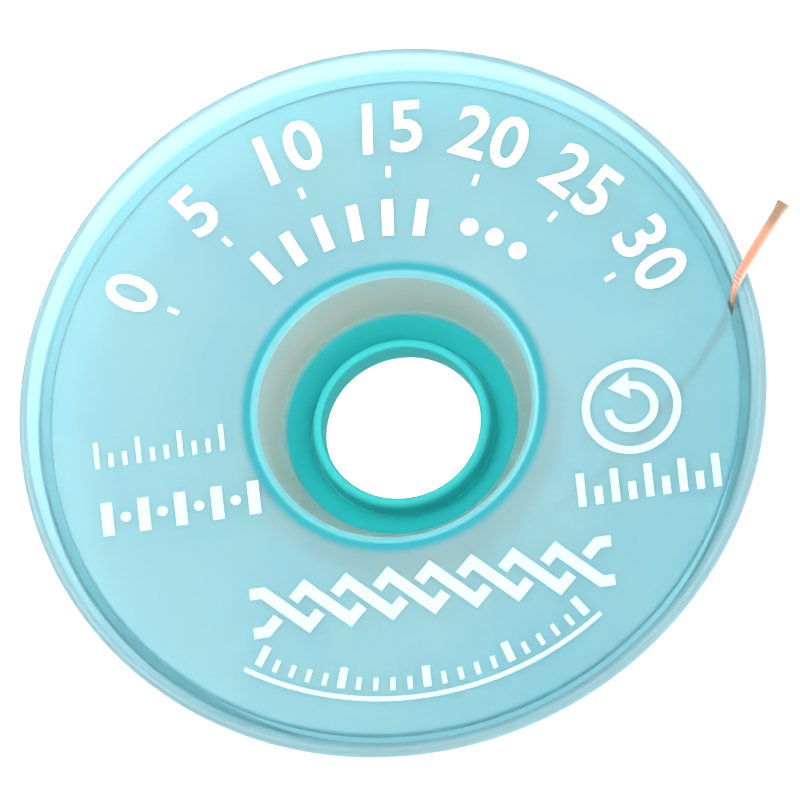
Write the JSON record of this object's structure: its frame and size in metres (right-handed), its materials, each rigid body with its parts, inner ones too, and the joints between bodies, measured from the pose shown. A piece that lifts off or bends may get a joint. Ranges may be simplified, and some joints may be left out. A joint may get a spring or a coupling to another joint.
{
  "type": "desoldering braid",
  "caption": "Flat woven copper desoldering braid wound on a shallow round bobbin, its free end coming out between the printed disc and the flared rim.",
  "frame": {"origin": "on the bobbin's axis, at the flat back face that it lies on", "axes": "+Z along the bobbin's axis, up through the printed face; +X towards the side where the braid's free end comes out"},
  "size_m": [0.055, 0.0508, 0.0084],
  "materials": {
    "teal_plastic_back": "translucent moulded plastic, satin gloss",
    "teal_plastic_front": null,
    "copper_braid_winding": "bare drawn copper, woven flat, coated with dry rosin",
    "copper_braid_tail": "bare drawn copper, woven flat, coated with dry rosin"
  },
  "bodies": {
    "root": {"back_half": "teal_plastic_back", "front_half": "teal_plastic_front", "braid_winding": "copper_braid_winding", "braid_tail": "copper_braid_tail"}
  },
  "joints": []
}
